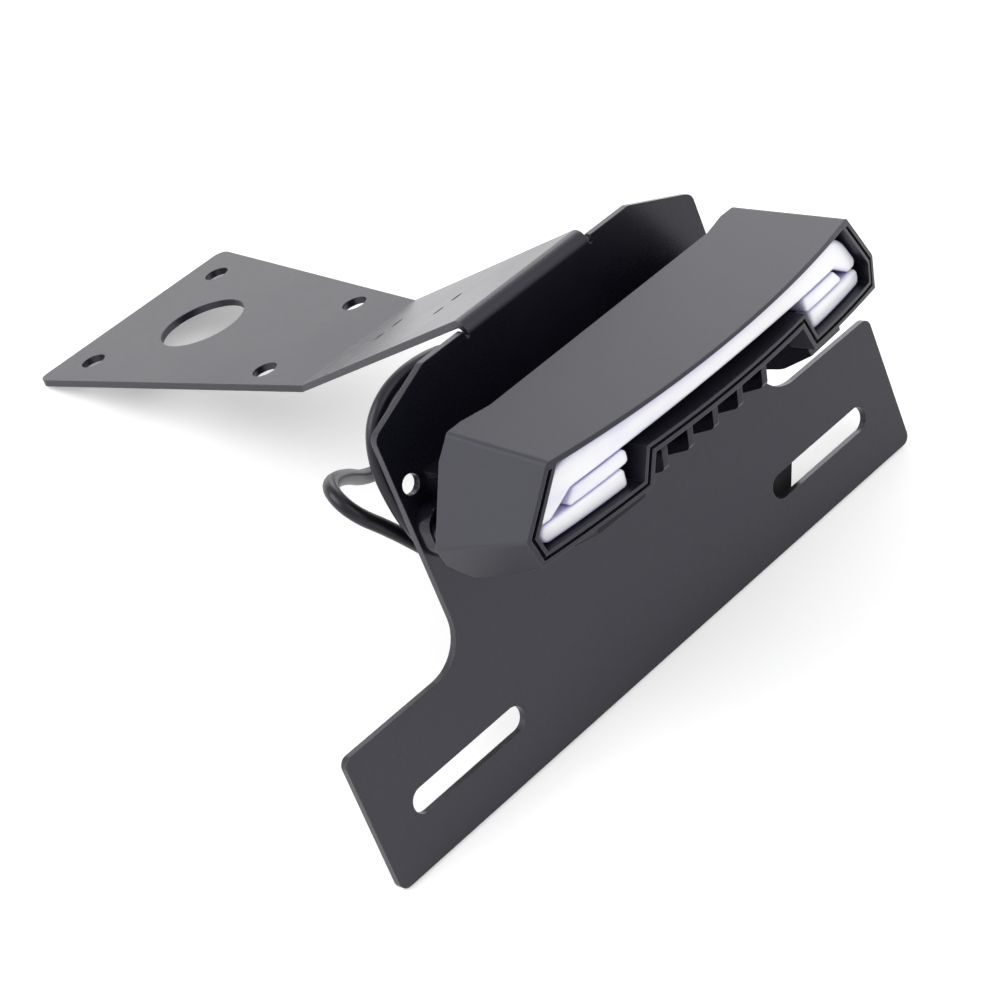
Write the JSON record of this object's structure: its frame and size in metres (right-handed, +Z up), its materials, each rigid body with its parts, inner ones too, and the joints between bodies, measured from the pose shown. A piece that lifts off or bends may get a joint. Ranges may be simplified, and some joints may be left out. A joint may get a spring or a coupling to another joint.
{
  "type": "motorbike tail tidy",
  "caption": "Folded black sheet bracket that bolts under a motorbike's tail, with a slotted number-plate panel and a bowed LED tail lamp bolted to it on a loose lead.",
  "frame": {"origin": "midway between the two rear mounting holes, on the mounting plate's top face", "axes": "+Z up out of the mounting plate's top face, -Y to the rear of the motorbike, the way the lamp faces, +X to the right when looking at the lamp from behind the motorbike"},
  "size_m": [0.2, 0.2431, 0.1102],
  "materials": {
    "bracket": "satin black powder coat on folded steel sheet",
    "lamp_cover": "fine-grained satin black moulding",
    "lamp_base": "glossy black moulding",
    "inner_mask": "dark satin moulding",
    "guide": "milky white light-guide plastic",
    "board": "green solder mask",
    "led": "diode with a yellow phosphor face",
    "screw": "zinc-plated steel",
    "bolt": "black oxide steel",
    "washer": "zinc-plated steel",
    "grommet": "black rubber",
    "cable": "satin black cable sheath",
    "tie": "black nylon",
    "plug": "black nylon plug body",
    "pin": "bare contact metal"
  },
  "bodies": {
    "root": {"bracket": "bracket", "lamp_cover": "lamp_cover", "lamp_base": "lamp_base", "inner_mask": "inner_mask", "guide_top": "guide", "guide_mid_left": "guide", "guide_mid_right": "guide", "guide_low_left": "guide", "guide_low_right": "guide", "led_board": "board", "leds": "led", "board_screws": "screw", "lamp_bolts": "bolt", "lamp_washers": "washer", "cable_grommet": "grommet", "cable": "cable", "cable_tie": "tie", "connector": "plug", "connector_pins": "pin"}
  },
  "joints": []
}
